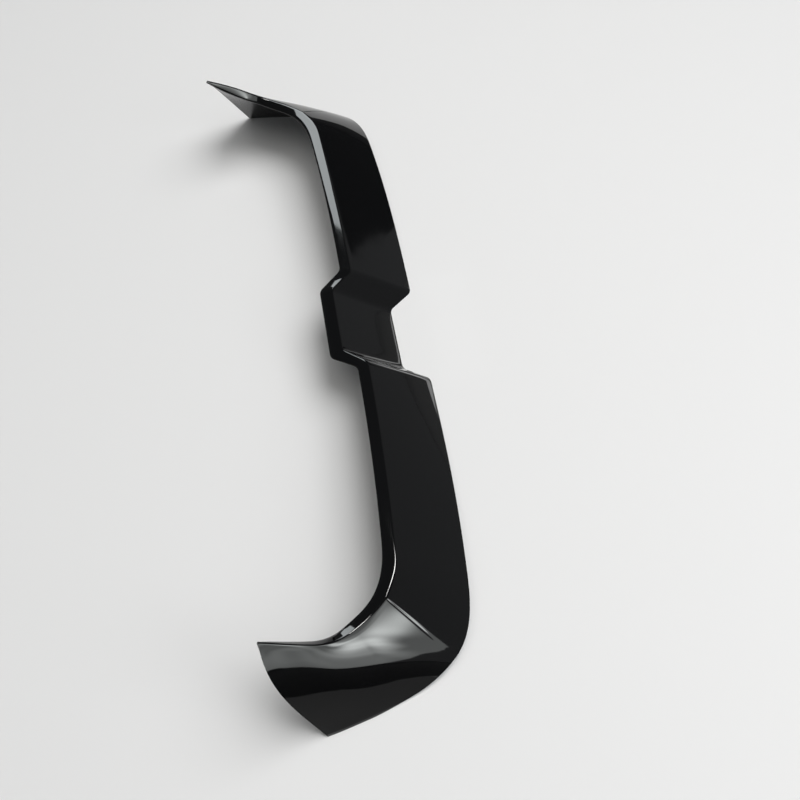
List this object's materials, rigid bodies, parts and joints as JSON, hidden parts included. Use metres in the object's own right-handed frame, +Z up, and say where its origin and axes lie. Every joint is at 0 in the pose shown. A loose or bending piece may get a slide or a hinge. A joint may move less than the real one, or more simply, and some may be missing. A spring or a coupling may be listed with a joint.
{
  "type": "car roof spoiler",
  "caption": "One-piece moulded roof spoiler: a sloping hollow shell with a stepped centre, a level rear band and ends that bend into side wings.",
  "frame": {"origin": "on the floor below the middle of the bounding box, in the part's plane of symmetry", "axes": "+X across the car along the part's length, +Y toward the leading edge that meets the roof, +Z up, as the part lies on a flat floor"},
  "size_m": [1.2, 0.2876, 0.1774],
  "materials": {
    "shell": "gloss black, moulded in colour and smooth"
  },
  "bodies": {
    "root": {"spoiler_shell": "shell"}
  },
  "joints": []
}
